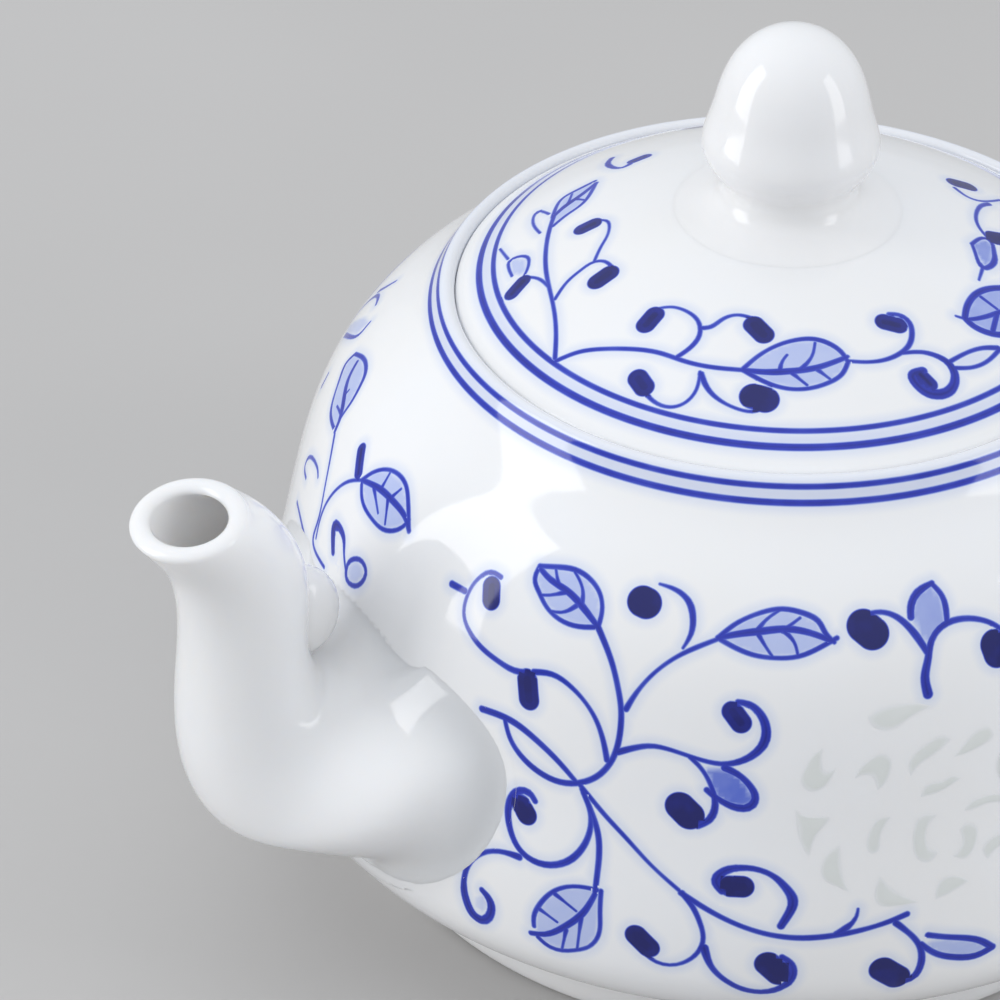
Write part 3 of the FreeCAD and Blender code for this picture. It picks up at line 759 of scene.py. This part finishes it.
def drawn_out(sections):
    """Sections set closely along a smooth curve through the given ones."""
    evenly = np.array([1, 1, 0.15, 1, 1, 1])
    return spline(np.asarray(sections) * evenly, 150) / evenly


outer_sections = drawn_out(spout_sections)
outside = ovals(outer_sections, spout_columns)[::-1] * [-1, 1, 1]
bore_sections = np.array(spout_sections) - [0, 0, 0, spout_wall, spout_wall, 0]
bore_sections[3:5] -= bend_tuck
bore_sections[-1, 3:5] += spout_wall - lip_wall
bore = ovals(drawn_out(bore_sections), spout_columns) * [-1, 1, 1]
root, row, way = fillet(outside, spout_root, spout_root, 16)
round_lip = np.linspace(np.pi, 0, 13)[1:-1, None]
mouth_lean = math.radians(outer_sections[-1, 2])
lift = lip_rise * np.sin(round_lip)
inset = lip_wall / 2 * (1 - np.cos(round_lip))
lip = outer_sections[-1] + lift * [math.sin(mouth_lean), math.cos(mouth_lean), 0, 0, 0, 0]
lip = lip - inset * [0, 0, 0, 1, 1, 0]
lip = ovals(lip, spout_columns) * [-1, 1, 1]
neck = open_rows(outside, row, 110)
inside = bore[nearest_skin(bore)[0].min(1) > -bore_end]
spout_grid = np.concatenate([lip, neck, root, root[-1:] - root_sink * way, inside])
spout = clay("spout_cast", [spout_grid], white_porcelain("thin_porcelain", 0.5, 0.004), ring=True)
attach(spout, "pot")
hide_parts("spout")


# The lug is a small rounded pad of porcelain clay, pressed on to the back of the spout's neck
# where it faces the shoulder, and glazed with it.
lug_place = (-77.9, 0.0, 59.2)
lug_half = (6.0, 4.6, 7.0)
rise = np.linspace(0, np.pi, 25)
ball = turned(np.c_[np.sin(rise), np.cos(rise)], 40)
lug = clay("spout_lug_pressed", [ball * lug_half + lug_place], plain_glaze)
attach(lug, "pot")
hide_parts("spout_lug")


# The handle is a pulled strap of porcelain clay, bent to an ear and luted on at both ends,
# opposite the spout. The joins are smoothed into the body before it is glazed.
handle_path = [(55.8, 71.9), (78.2, 79.0), (94.5, 72.9), (97.7, 57.6), (91.8, 38.2), (77.7, 28.0),
               (65.0, 26.5)]
handle_thick = 8.6
handle_wide = 12.0
handle_root = 5.0
handle_landing = 4.0
path = spline(handle_path, 161)
way = np.gradient(path, axis=0)
lean = np.degrees(np.unwrap(np.arctan2(way[:, 0], way[:, 1])))
even = np.ones(len(path))
ear = ovals(np.c_[path, lean, even * handle_thick / 2, even * handle_wide / 2, even * 0], 72)
halfway = len(ear) // 2
upper, lower = ear[halfway::-1], ear[halfway:]
parts = []
for arm in (upper, lower):
    root, row, out = fillet(arm, handle_root, handle_landing, 12)
    arm_rows = open_rows(arm, row, 60)
    sunk = root[-1:] - root_sink * out
    end = root[-1:].mean(1, keepdims=True) - root_sink * out.mean(0) + np.zeros_like(sunk)
    parts.append(np.concatenate([arm_rows, root, sunk, end]))
handle_grid = np.concatenate([parts[0][::-1], parts[1][1:]])
handle = clay("handle_pulled", [handle_grid], plain_glaze)
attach(handle, "pot")
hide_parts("handle")


# The windows are cut through the wall as crescents before firing. Glaze fills them and stays
# clear, so that they show as soft grey-green shapes, on the front and again on the back.
WINDOWS = [
    ([(868, 717), (878, 710), (896, 705), (915, 703), (932, 706)],
     [(868, 717), (872, 725), (889, 730), (900, 725), (914, 715), (932, 706)]),
    ([(855, 778), (861, 768), (871, 759), (884, 754), (891, 759), (890, 772), (885, 783), (878, 790)],
     [(855, 778), (864, 775), (873, 777), (876, 783), (878, 790)]),
    ([(911, 776), (909, 764), (915, 753), (929, 742), (945, 736), (951, 739)],
     [(911, 776), (917, 767), (927, 759), (941, 749), (951, 739)]),
    ([(954, 757), (966, 742), (976, 731), (988, 726)],
     [(954, 757), (969, 752), (983, 745), (994, 734), (988, 726)]),
    ([(921, 797), (926, 786), (933, 783), (943, 781), (952, 776), (961, 778)],
     [(921, 797), (936, 793), (948, 787), (961, 778)]),
    ([(964, 811), (971, 802), (982, 797), (1000, 794), (1012, 798)],
     [(964, 811), (976, 808), (988, 803), (1000, 802), (1012, 798)]),
    ([(891, 817), (881, 818), (873, 825), (868, 837), (868, 850), (872, 854)],
     [(891, 817), (884, 827), (880, 840), (877, 852), (872, 854)]),
    ([(937, 815), (920, 817), (914, 830), (913, 845), (919, 860), (929, 862), (938, 852)],
     [(937, 815), (928, 826), (926, 838), (929, 848), (938, 852)]),
    ([(960, 829), (968, 823), (976, 826), (977, 838), (973, 850), (965, 858), (953, 856)],
     [(960, 829), (962, 836), (963, 842), (959, 850), (953, 856)]),
    ([(880, 876), (876, 887), (877, 903), (896, 906), (918, 902)],
     [(880, 876), (889, 886), (902, 895), (918, 902)]),
    ([(936, 899), (937, 887), (946, 877), (957, 876), (969, 881)],
     [(936, 899), (948, 894), (958, 888), (969, 881)]),
    ([(988, 859), (983, 849), (988, 841), (1000, 834), (1010, 832)],
     [(988, 859), (994, 851), (1001, 845), (1010, 832)]),
    ([(1004, 745), (998, 758), (997, 772), (1001, 780)],
     [(1004, 745), (1007, 760), (1006, 772), (1001, 780)]),
]
OUTER_WINDOWS = [
    ([(823, 748), (812, 757), (803, 773), (801, 783), (809, 791), (821, 789), (836, 768)],
     [(823, 748), (822, 763), (825, 772), (836, 768)]),
    ([(795, 809), (797, 825), (801, 843), (809, 857)],
     [(795, 809), (808, 817), (830, 818), (820, 830), (812, 845), (809, 857)]),
    ([(840, 845), (828, 854), (821, 869), (823, 878), (836, 886), (849, 892)],
     [(840, 845), (840, 858), (842, 874), (849, 892)]),
]
medallion_angle = 256.5


def window_glaze():
    """Clear glaze with the light of the inside behind it, fading to porcelain at its edge."""
    material, tree, shader, place = glaze("clear_glaze")
    depth = node(tree, "Attribute", attribute_name="depth").outputs["Fac"]
    cloud = node(tree, "TexNoise", {"Vector": place, "Scale": 260.0, "Detail": 2.0}).outputs["Fac"]
    amount = figure(tree, "MULTIPLY", depth, spread(tree, cloud, 0.2, 0.8, 0.8, 1.0))
    colour = shades(tree, amount, [(0.0, (0.86, 0.87, 0.89)), (0.9, (0.735, 0.76, 0.745))])
    tree.links.new(colour, shader.inputs["Base Color"])
    return material


def window_edges(windows):
    """The two edges of each window as finely stepped lines on the skin."""
    return [tuple(cast(spline(edge, 25), skin) for edge in window) for window in windows]


def across_edges(edges, angle):
    """The windows' edges reflected in the upright plane at an angle."""
    return [(first @ reflection(angle), second @ reflection(angle)) for first, second in edges]


def window_plugs(edges):
    """Each window as a thin lens on the skin between two edges that share their ends. The first
    columns are its face and the rest its back."""
    over = np.r_[np.linspace(0, 1, 11), np.linspace(1, 0, 11)[1:-1]]
    back = np.r_[np.zeros(11), np.ones(9)]
    lenses, depths = [], []
    for first, second in edges:
        spot = first[:, None] * (1 - over[:, None]) + second[:, None] * over[:, None]
        radius = np.interp(spot[..., 2], skin[:, 1], skin[:, 0])
        spot[..., :2] *= (radius / np.hypot(spot[..., 0], spot[..., 1]))[..., None]
        edge = 4 * over * (1 - over) * (1 - np.linspace(-1, 1, len(first))[:, None] ** 2)
        lift = np.where(back > 0, -0.8 * edge, 0.015 + 0.05 * edge)
        lenses.append(spot + lift[..., None] * facing(spot.reshape(-1, 3), skin).reshape(spot.shape))
        depths.append(np.clip(edge * 1.7, 0, 1).ravel())
    return lenses, depths


clear_glaze = window_glaze()
outer_edges = window_edges(OUTER_WINDOWS)
front_edges = window_edges(WINDOWS) + outer_edges + across_edges(outer_edges, medallion_angle)
back_edges = across_edges(front_edges, 0)
for edges, node_name in ((front_edges, "glaze_windows_front"), (back_edges, "glaze_windows_back")):
    lenses, depths = window_plugs(edges)
    plugs = clay(node_name + "_fired", lenses, clear_glaze, crease=80.0, depths=depths)
    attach(plugs, "pot")
    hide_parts(node_name)


# The lid is a thin dome that drops inside the rim and rests on the ledge, painted like the pot
# with a vine inside two rings. A small vent beside the knob lets steam out.
lid_ball = 76.9
crown_height = 103.2
lid_radius = 46.46
lid_bottom = 85.1
lid_wall = 3.2
lid_inside = 35.2
vent_radius = 1.5
vent_distance = 17.0
vent_angle = 56.0
lid_half_turn = 102.5
lid_back_first, lid_back_last = 188, 236
LID_STROKES = [
    ([0.42, 0.38, 0.36, 0.4, 0.4, 0.45],
     [(555, 358), (556, 333), (554, 310), (550, 291), (546, 270), (546, 249), (550, 228), (554, 216)]),
    ([0.3, 0.3, 0.28], [(549, 214), (537, 212), (533, 222), (540, 233)]),
    ([0.32, 0.3, 0.28, 0.3], [(594, 262), (602, 245), (609, 230), (608, 222), (600, 220)]),
    ([1.0, 1.35, 1.1, 0.5], [(580, 230), (586, 227), (592, 224), (599, 221)]),
    ([0.36, 0.34, 0.34, 0.34, 0.34],
     [(555, 299), (568, 281), (581, 270), (594, 262), (606, 262), (613, 268)]),
    ([1.1, 1.55, 1.5, 1.0], [(595, 283), (601, 280), (607, 276), (612, 271)]),
    ([0.34, 0.32, 0.3], [(549, 287), (539, 279), (527, 277)]),
    ([0.8, 1.3, 1.3, 0.8], [(510, 296), (515, 290), (520, 284), (525, 279)]),
    ([0.3, 0.32, 0.34, 0.32, 0.3],
     [(512, 276), (509, 262), (517, 257), (528, 258), (528, 267), (524, 276)]),
    ([0.25, 0.3], [(500, 249), (508, 259)]),
    ([0.42, 0.4, 0.42, 0.4, 0.4],
     [(556, 361), (579, 352), (602, 349), (631, 349), (660, 353), (684, 361), (711, 367), (743, 370)]),
    ([0.4, 0.42, 0.36, 0.3, 0.3],
     [(677, 357), (692, 346), (700, 333), (698, 321), (688, 312), (671, 307), (656, 309)]),
    ([0.9, 1.45, 1.45, 1.0], [(657, 312), (652, 317), (648, 321), (644, 327)]),
    ([0.42, 0.4, 0.32, 0.34], [(702, 328), (710, 327), (723, 319), (738, 315), (752, 318)]),
    ([1.1, 1.5, 1.45, 1.0], [(752, 323), (756, 327), (760, 332), (766, 337)]),
    ([0.3, 0.3, 0.3, 0.34, 0.4], [(700, 372), (697, 388), (686, 402), (669, 407), (652, 400), (643, 390)]),
    ([1.2, 1.5, 1.3, 0.7], [(637, 377), (641, 380), (645, 384), (647, 391)]),
    ([0.5, 0.4, 0.3, 0.3, 0.4], [(701, 374), (708, 389), (721, 401), (738, 409), (755, 411), (765, 406)]),
    ([1.2, 1.9, 2.0, 1.3], [(748, 395), (756, 391), (764, 393), (770, 401)]),
    ([0.36, 0.34, 0.4, 0.45, 0.45, 0.4],
     [(848, 361), (866, 362), (884, 360), (899, 354), (909, 345), (912, 333), (909, 322), (899, 315),
      (889, 314)]),
    ([0.9, 1.4, 1.4, 1.0], [(881, 321), (887, 321), (894, 323), (901, 326)]),
    ([0.36, 0.4, 0.5, 0.65, 0.8, 0.85, 0.8, 0.7],
     [(903, 353), (920, 352), (937, 356), (951, 366), (955, 380), (949, 391), (933, 394), (920, 387),
      (913, 375), (923, 371)]),
    ([0.8, 1.1, 0.8], [(919, 373), (926, 378), (932, 386)]),
    ([0.4, 0.36, 0.4, 0.5], [(951, 361), (964, 354), (983, 348), (998, 348)]),
    ([0.4, 0.36, 0.36, 0.4], [(956, 368), (974, 367), (989, 360), (999, 350)]),
    ([0.55, 0.6, 0.6, 0.6, 0.6, 0.6],
     [(965, 318), (967, 307), (975, 295), (988, 289), (1002, 288), (1024, 292), (1034, 310), (1022, 329),
      (994, 334), (981, 330), (971, 324), (965, 318)]),
    ([0.25, 0.45, 0.5, 0.45, 0.4], [(956, 316), (967, 319), (980, 318), (997, 313), (1028, 300)]),
    ([0.4, 0.35], [(981, 297), (997, 309)]),
    ([0.5, 0.5], [(997, 314), (993, 330)]),
    ([0.4, 0.36, 0.4, 0.55, 0.5, 0.36, 0.36],
     [(972, 244), (984, 238), (991, 242), (994, 252), (994, 262), (985, 268), (975, 252), (972, 244)]),
    ([0.36, 0.25], [(983, 267), (979, 280)]),
    ([0.5, 0.36, 0.34, 0.36], [(989, 204), (981, 206), (976, 216), (979, 227), (987, 237)]),
    ([0.7, 1.6, 1.5], [(989, 237), (998, 238), (1006, 240)]),
    ([0.9, 1.45, 1.1, 0.5], [(952, 182), (959, 183), (966, 186), (974, 188)]),
    ([0.4, 0.32, 0.28], [(955, 188), (968, 197), (981, 201), (1000, 200)]),
    ([0.5, 0.5, 0.35, 0.5], [(612, 158), (608, 164), (616, 168), (630, 164)]),
    ([0.6, 1.0, 0.8, 0.4], [(631, 162), (637, 160), (643, 157), (649, 155)]),
]
LID_LEAVES = [
    ([(553, 216), (560, 201), (575, 191), (595, 181)], [(553, 226), (568, 214), (583, 203), (596, 183)],
     [(553, 217), (564, 207), (581, 195), (596, 183)], [[(568, 204), (572, 194)], [(576, 199), (585, 200)]]),
    ([(743, 369), (757, 357), (776, 346), (796, 340), (813, 339), (830, 344), (843, 354), (848, 362)],
     [(743, 370), (757, 378), (773, 385), (792, 389), (811, 388), (830, 382), (842, 374), (848, 362)],
     [(743, 370), (767, 372), (792, 371), (815, 368), (834, 362), (847, 357)],
     [[(780, 370), (782, 362), (787, 355)], [(801, 369), (812, 356), (815, 343)], [(792, 373), (807, 385)],
      [(818, 370), (830, 379)]]),
]
LID_WASHES = [
    (0.26, [(512, 275), (509, 262), (517, 258), (527, 259), (528, 267), (523, 276)]),
    (0.42, [(972, 244), (984, 239), (991, 243), (994, 252), (993, 262), (985, 267), (975, 252)]),
    (0.36, [(965, 318), (967, 307), (975, 295), (988, 289), (1002, 288), (1024, 292), (1034, 310),
            (1022, 329), (994, 334), (971, 324)]),
    (0.14, [(951, 361), (964, 354), (983, 348), (998, 348), (989, 360), (974, 367), (956, 368)]),
]


def cap(ball, centre, first, last, count):
    """An arc of a ball on the axis, as radii and heights from one radius to another."""
    radius = np.linspace(first, last, count)
    return np.c_[radius, centre + np.sqrt(ball ** 2 - radius ** 2)]


lid_centre = crown_height - lid_ball
lid_top = cap(lid_ball, lid_centre, 0, lid_radius - 1.3, 74)
lid_edge = [lid_top[-1], (lid_radius - 0.28, 87.95), (lid_radius, 87.3)]
lid_edge = spline(lid_edge, 7, lid_top[-1] - lid_top[-2], (0, -1))
lid_hollow = cap(lid_ball - lid_wall, lid_centre, lid_inside - 2.0, 0, 30)
lid_profile = np.concatenate([
    lid_top, lid_edge[1:], [(lid_radius, lid_bottom + 0.5), (lid_radius - 0.5, lid_bottom)],
    [(lid_inside + 0.6, lid_bottom), (lid_inside, lid_bottom + 0.6), (lid_inside, 89.0)],
    [(lid_inside - 0.4, 90.6)], lid_hollow])
lid = clay("lid_painted", [turned(lid_profile, 400)], pot.data.materials[0])
vent_turn = math.radians(vent_angle)
vent_spot = np.array([vent_distance * math.cos(vent_turn), vent_distance * math.sin(vent_turn), 0])
vent_top = crown_height - vent_distance ** 2 / (2 * lid_ball)
vent_flare = spline([(0, -1.0), (0.25, -0.3), (1.2, 0.3)], 7) + [vent_radius, vent_top]
vent_profile = np.concatenate([
    [(0, lid_bottom), (vent_radius, lid_bottom)], vent_flare,
    [(vent_radius + 1.2, vent_top + 2), (0, vent_top + 2)]])
pierce(lid, clay("vent", [turned(vent_profile, 36) + vent_spot], pot.data.materials[0]))


def carried_round(laid):
    """The part of the lid's vine that its back repeats, turned there by two reflections."""
    return mirrored(mirrored(between(laid, lid_back_first, lid_back_last), 0), lid_half_turn)


lid_vine, lid_wash = growth(LID_STROKES, LID_LEAVES, LID_WASHES, lid_top)
strokes = lid_vine + carried_round(lid_vine) + [hoop(41.0, 91.2, 0.45), hoop(43.0, 89.9, 0.58)]
washes = lid_wash + carried_round(lid_wash)
paint(lid, lid_top, strokes, washes, [(89.9, 91.2, 40.0, 0.14)])
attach(lid, "lid")
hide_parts("lid")


# The skirt is a ring under the lid that keeps it in the mouth. It is left unglazed, because
# glaze there would fuse the lid to the pot in the kiln.
skirt_radius = 38.2
skirt_depth = 9.0


def bare_porcelain():
    """Unglazed porcelain: chalky, with a fine grain and a faint warm tone."""
    material = bpy.data.materials.new("bare_porcelain")
    material.use_nodes = True
    tree = material.node_tree
    shader = tree.nodes["Principled BSDF"]
    place = node(tree, "TexCoord").outputs["Object"]
    grain = node(tree, "TexNoise", {"Vector": place, "Scale": 1800.0, "Detail": 3.0}).outputs["Fac"]
    cloud = node(tree, "TexNoise", {"Vector": place, "Scale": 60.0, "Detail": 3.0}).outputs["Fac"]
    colour = shades(tree, cloud, [(0.3, (0.80, 0.77, 0.71)), (0.7, (0.85, 0.83, 0.79))])
    tree.links.new(colour, shader.inputs["Base Color"])
    tree.links.new(spread(tree, grain, 0.2, 0.8, 0.55, 0.8), shader.inputs["Roughness"])
    bump = node(tree, "Bump", {"Height": grain, "Strength": 0.25, "Distance": 0.0001})
    tree.links.new(bump.outputs["Normal"], shader.inputs["Normal"])
    return material


skirt_low = lid_bottom - skirt_depth
skirt_profile = np.concatenate([
    [(lid_inside, lid_bottom + 0.3), (lid_inside, skirt_low + 1.2)],
    spline([(0, 1.0), (0.5, 0.15), (1.5, 0)], 6) + [lid_inside, skirt_low],
    spline([(-1.5, 0), (-0.4, 0.2), (0, 1.2)], 6) + [skirt_radius, skirt_low],
    [(skirt_radius, lid_bottom + 0.3)]])
skirt = clay("lid_skirt_bare", [turned(skirt_profile, 160)], bare_porcelain(), ring=True)
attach(skirt, "lid")
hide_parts("lid_skirt")


# The knob is a turned bud with a soft collar and a waist above it. It is luted to the crown,
# and its neck runs out into the lid in a wide fillet.
knob_foot_radius = 16.0
knob_bottom = 100.6
bud_points = [(9.4, 106.2), (10.9, 108.8), (12.4, 112.2), (11.75, 115.4), (11.1, 117.6), (10.4, 120.4),
              (8.6, 124.8), (4.9, 128.5), (0.0, 129.8)]
neck_way = (0.1, 1)
knob_foot = cap(lid_ball + 0.01, lid_centre, knob_foot_radius + 0.6, knob_foot_radius, 2)
flare = [knob_foot[-1], (11.4, 102.85), (9.75, 104.3), bud_points[0]]
flare = spline(flare, 26, knob_foot[1] - knob_foot[0], neck_way)
bud = spline(bud_points, 60, neck_way, (-1, 0))
knob_profile = np.concatenate([
    [(0, knob_bottom), (knob_foot_radius - 1, knob_bottom)], flare, bud[1:]])
knob = clay("knob_turned", [turned(knob_profile, 160)], plain_glaze)
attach(knob, "lid")
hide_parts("knob")


# The pot stands on a plain pale floor, between two tall soft lamps that show in its glaze, one
# on the spout's side and one on the right, under a dim sky that is brighter overhead.
floor_half = 3.0
floor_mesh = bpy.data.meshes.new("floor")
floor_corners = [(-floor_half, -floor_half, 0), (floor_half, -floor_half, 0),
                 (floor_half, floor_half, 0), (-floor_half, floor_half, 0)]
floor_mesh.from_pydata(floor_corners, [], [(0, 1, 2, 3)])
floor = bpy.data.objects.new("floor", floor_mesh)
bpy.context.scene.collection.objects.link(floor)
floor_paint = bpy.data.materials.new("floor")
floor_paint.use_nodes = True
floor_tree = floor_paint.node_tree
floor_shader = floor_tree.nodes["Principled BSDF"]
floor_shader.inputs["Roughness"].default_value = 0.6
floor_place = node(floor_tree, "TexCoord").outputs["Object"]
floor_cloud = node(floor_tree, "TexNoise", {"Vector": floor_place, "Scale": 6.0}).outputs["Fac"]
floor_colour = shades(floor_tree, floor_cloud, [(0.3, (0.50, 0.49, 0.48)), (0.7, (0.53, 0.52, 0.51))])
floor_tree.links.new(floor_colour, floor_shader.inputs["Base Color"])
floor_mesh.materials.append(floor_paint)


def softbox(name, heading, distance, width, tall, power):
    """An upright lamp that stands on the floor and faces the pot from a heading in degrees."""
    lamp = bpy.data.lights.new(name, "AREA")
    lamp.shape = "RECTANGLE"
    lamp.size = width
    lamp.size_y = tall
    lamp.energy = power
    box = bpy.data.objects.new(name, lamp)
    stand = Matrix.Rotation(math.radians(heading + 90), 4, "Z") @ Matrix.Rotation(math.radians(90), 4, "X")
    box.matrix_world = Matrix.Translation((0, 0, tall / 2)) @ stand @ Matrix.Translation((0, 0, distance))
    bpy.context.scene.collection.objects.link(box)


softbox("lamp_left", heading=158, distance=0.95, width=0.46, tall=1.02, power=4.5)
softbox("lamp_right", heading=310, distance=1.10, width=0.38, tall=0.95, power=2.8)
sky_level, sky_top = 0.60, 0.44
world = bpy.data.worlds.new("sky")
bpy.context.scene.world = world
world.use_nodes = True
sky = world.node_tree
height = node(sky, "SeparateXYZ", {0: node(sky, "TexCoord").outputs["Generated"]}).outputs[2]
overhead = figure(sky, "MULTIPLY", figure(sky, "MAXIMUM", height, 0.0), sky_top)
sky.nodes["Background"].inputs["Color"].default_value = (0.94, 0.965, 1.0, 1)
sky.links.new(figure(sky, "ADD", overhead, sky_level), sky.nodes["Background"].inputs["Strength"])
bpy.context.scene.view_settings.view_transform = "Standard"
